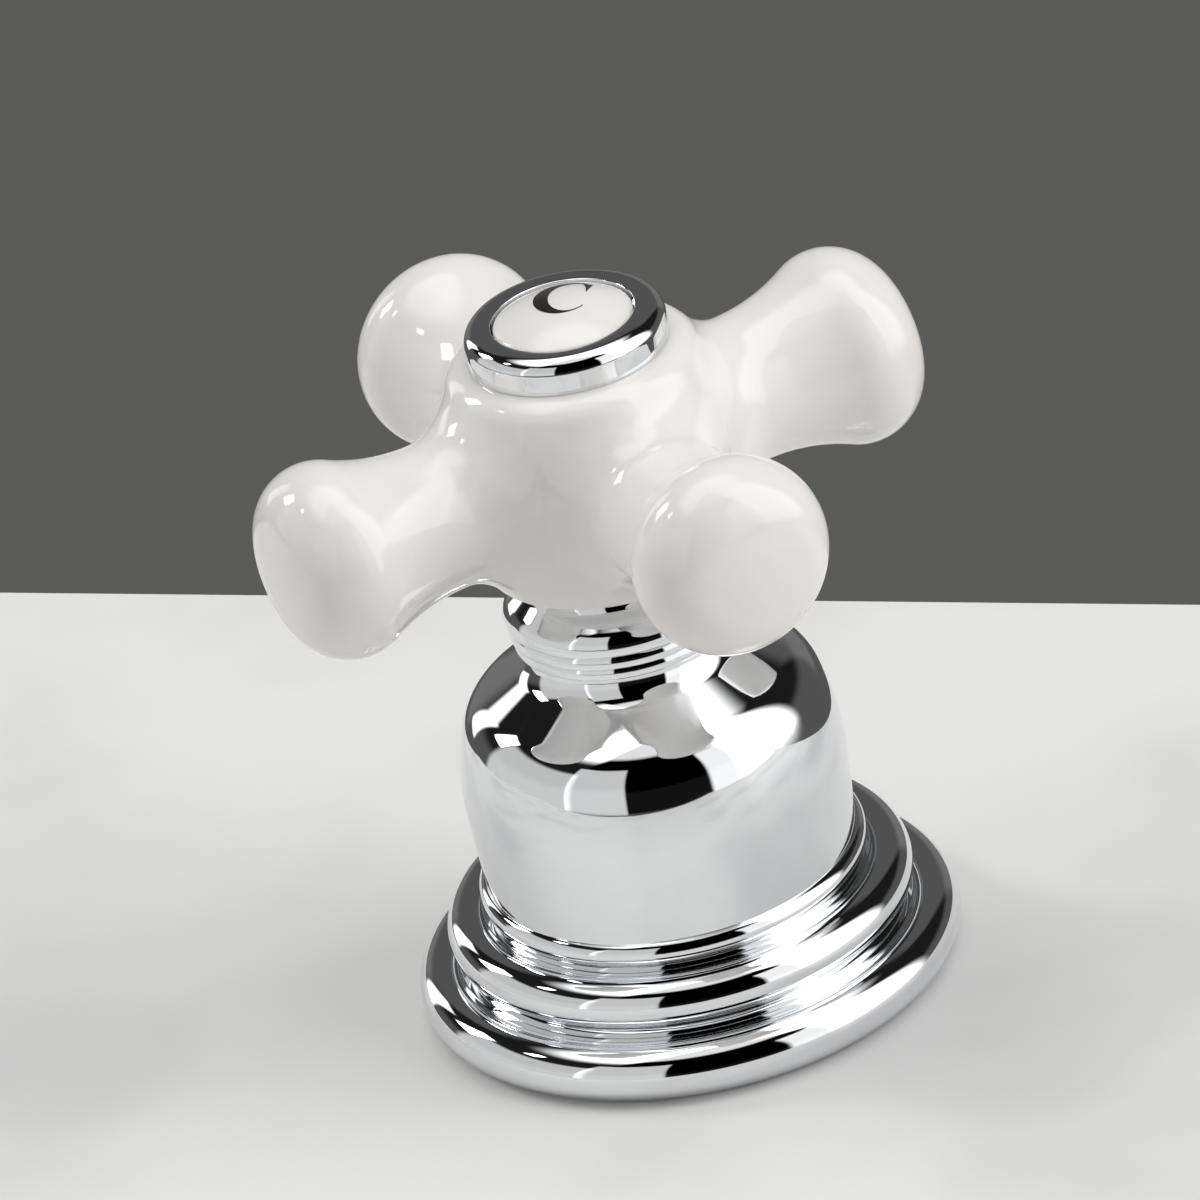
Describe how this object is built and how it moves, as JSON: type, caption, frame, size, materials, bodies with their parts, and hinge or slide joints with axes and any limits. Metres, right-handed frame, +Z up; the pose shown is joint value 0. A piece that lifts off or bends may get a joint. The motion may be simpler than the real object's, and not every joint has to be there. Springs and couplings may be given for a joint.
{
  "type": "cross handle tap",
  "caption": "Deck-mounted quarter-turn tap: glazed porcelain cross handle with a domed index button, ringed chrome neck and chrome bell over a stepped flange, brass valve below.",
  "frame": {"origin": "middle of the deck plane that the bell flange stands on, on the spindle axis", "axes": "+Z up along the spindle, away from the deck; +Y along the side outlet; the closed handle's arms point along X and Y"},
  "size_m": [0.0736, 0.0736, 0.1514],
  "materials": {
    "chrome_plate": "polished chromium plate on brass",
    "white_porcelain": "glossy white glaze",
    "yellow_brass": "turned brass",
    "stainless_steel": "plain stainless",
    "black_rubber": "moulded nitrile",
    "white_nylon": "moulded nylon",
    "clear_washer": "thin soft plastic washer",
    "sintered_ceramic": "lapped alumina"
  },
  "bodies": {
    "valve": {"bell_escutcheon": "chrome_plate", "guide_ring": "white_nylon", "holder_ring": "white_nylon", "deck_gasket": "black_rubber", "top_flange_nut": "yellow_brass", "rubber_washer": "black_rubber", "steel_washer": "stainless_steel", "lock_nut": "yellow_brass", "valve_body": "yellow_brass", "cartridge_body": "yellow_brass", "cartridge_o_ring": "black_rubber", "seat_seal": "black_rubber", "ceramic_disc_lower": "sintered_ceramic"},
    "handle": {"ceramic_disc_upper": "sintered_ceramic", "thrust_washer": "white_nylon", "spindle": "yellow_brass", "spindle_seals": "black_rubber", "spindle_circlip": "stainless_steel", "hub_ferrule": "chrome_plate", "lower_cushion": "clear_washer", "cross_handle": "white_porcelain", "upper_cushion": "clear_washer", "handle_cup": "yellow_brass", "lock_washer": "stainless_steel", "handle_screw": "stainless_steel", "index_rim": "chrome_plate", "index_disc": "white_porcelain", "index_o_ring": "black_rubber"}
  },
  "joints": [
    {"name": "handle_turn", "type": "hinge", "parent": "valve", "child": "handle", "pos_m": [0, 0, 0.06165], "axis": [0, 0, 1], "range_deg": [0, 90]}
  ]
}
